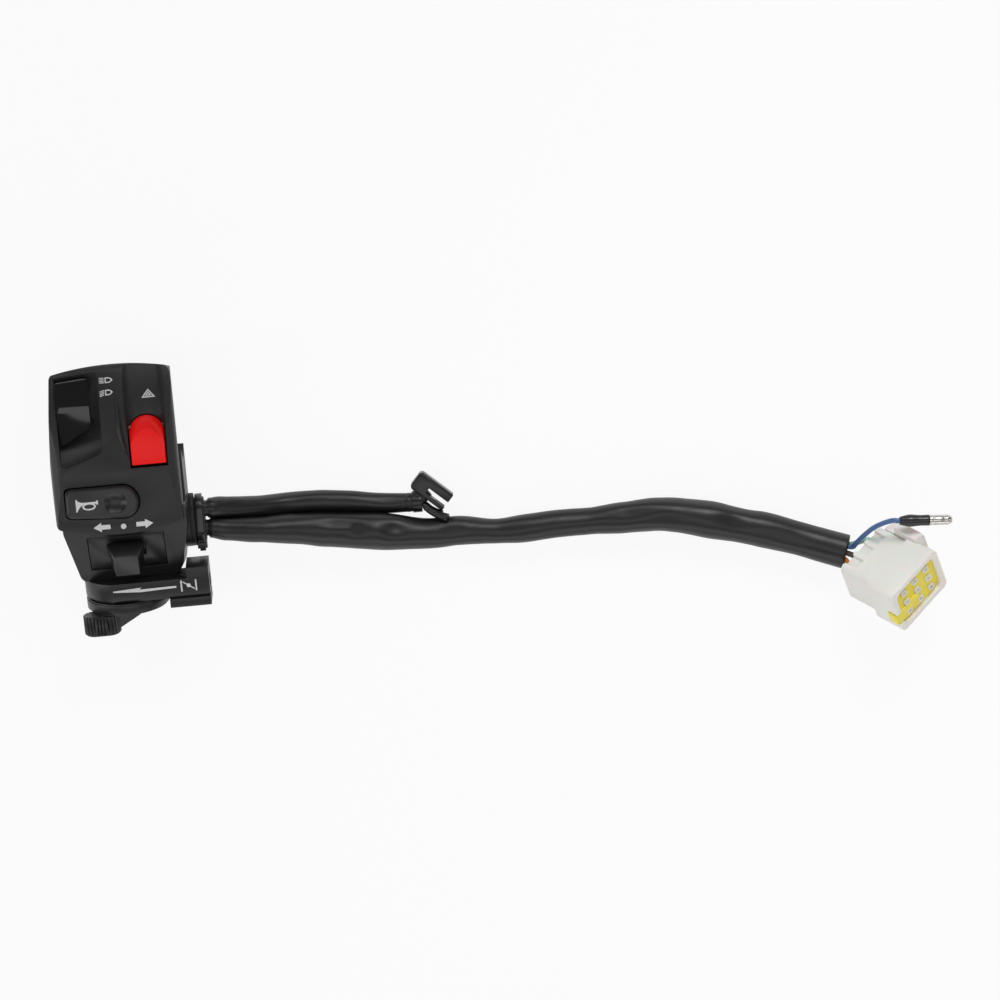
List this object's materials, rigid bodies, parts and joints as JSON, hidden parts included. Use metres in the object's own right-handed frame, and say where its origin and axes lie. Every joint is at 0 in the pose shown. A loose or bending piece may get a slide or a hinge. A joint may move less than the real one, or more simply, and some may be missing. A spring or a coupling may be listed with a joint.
{
  "type": "handlebar switch cluster",
  "caption": "Left-hand motorcycle handlebar switch cluster with dimmer rocker, hazard switch, horn button, turn-signal knob, choke lever and a sleeved wiring harness with connectors.",
  "frame": {"origin": "on the handlebar axis, at mid width of the housing", "axes": "+X along the bar towards the cable side, +Y up the switch face, +Z out of the switch face"},
  "size_m": [0.3279, 0.126, 0.0471],
  "materials": {
    "housing_black": "moulded, fine satin",
    "rocker_black": "glossy",
    "cap_red": "satin gloss",
    "button_black": "fine satin",
    "choke_black": "satin",
    "steel": "zinc plated",
    "brass": "plain",
    "laminate": "contact board",
    "nylon": "natural nylon",
    "rubber": "matt",
    "vinyl": "soft vinyl sleeve, semi-gloss",
    "connector_white": "moulded nylon",
    "holder_yellow": "moulded",
    "wire_mint": "wire insulation, mint, grey, orange and green",
    "wire_blue": "wire insulation, blue"
  },
  "bodies": {
    "housing": {"front_housing": "housing_black", "rear_housing": "housing_black", "housing_screws": "steel", "dimmer_pivot_pin": "steel", "dimmer_contact_base": "laminate", "dimmer_contacts": "brass", "hazard_pivot_pin": "steel", "hazard_contact_base": "laminate", "hazard_contacts": "brass", "horn_spring": "steel", "horn_contact_base": "laminate", "horn_contacts": "brass", "turn_plate": "housing_black", "turn_contact_base": "laminate", "turn_contacts": "brass", "base_screws": "steel", "choke_base": "choke_black", "choke_pivot_screw": "steel", "choke_washer": "steel", "choke_cover": "choke_black", "choke_screws": "steel", "cable_grommet": "rubber", "cable_tie": "vinyl", "main_sleeve": "vinyl", "branch_sleeve": "vinyl", "branch_connector": "vinyl", "branch_leads": "vinyl", "connector_housing": "connector_white", "terminal_holder": "holder_yellow", "connector_terminals": "connector_white", "connector_wires": "wire_mint", "blue_wire": "wire_blue", "bullet_sleeve": "vinyl", "bullet_terminal": "steel"},
    "dimmer": {"dimmer_rocker": "rocker_black", "dimmer_plunger": "nylon", "dimmer_spring": "steel"},
    "hazard": {"hazard_rocker": "cap_red", "hazard_plunger": "nylon", "hazard_spring": "steel"},
    "horn": {"horn_button": "button_black", "horn_moving_contact": "brass"},
    "carriage": {"turn_carriage": "nylon", "turn_bridge": "brass", "cancel_spring": "steel"},
    "knob": {"turn_knob": "button_black"},
    "choke": {"choke_lever": "choke_black"}
  },
  "joints": [
    {"name": "dimmer_rock", "type": "hinge", "parent": "housing", "child": "dimmer", "pos_m": [-0.0142, 0.012, 0.0195], "axis": [-1, 0, 0], "range_deg": [0, 8]},
    {"name": "hazard_rock", "type": "hinge", "parent": "housing", "child": "hazard", "pos_m": [0.0118, 0.004, 0.0214], "axis": [1, 0, 0], "range_deg": [0, 7]},
    {"name": "horn_push", "type": "slide", "parent": "housing", "child": "horn", "axis": [0, 0, -1], "range_m": [0, 0.0025], "stiffness_N_per_m": 700, "springref_m": -0.002, "deforming": ["horn_spring"]},
    {"name": "turn_slide", "type": "slide", "parent": "housing", "child": "carriage", "axis": [1, 0, 0], "range_m": [-0.004, 0.004]},
    {"name": "turn_cancel_push", "type": "slide", "parent": "carriage", "child": "knob", "axis": [0, 0.515, -0.8572], "range_m": [0, 0.0015], "stiffness_N_per_m": 600, "springref_m": -0.001, "deforming": ["cancel_spring"]},
    {"name": "choke_swing", "type": "hinge", "parent": "housing", "child": "choke", "pos_m": [-0.003, -0.05139, -0.0006], "axis": [0, 0.9781, 0.2079], "range_deg": [0, 70]}
  ]
}
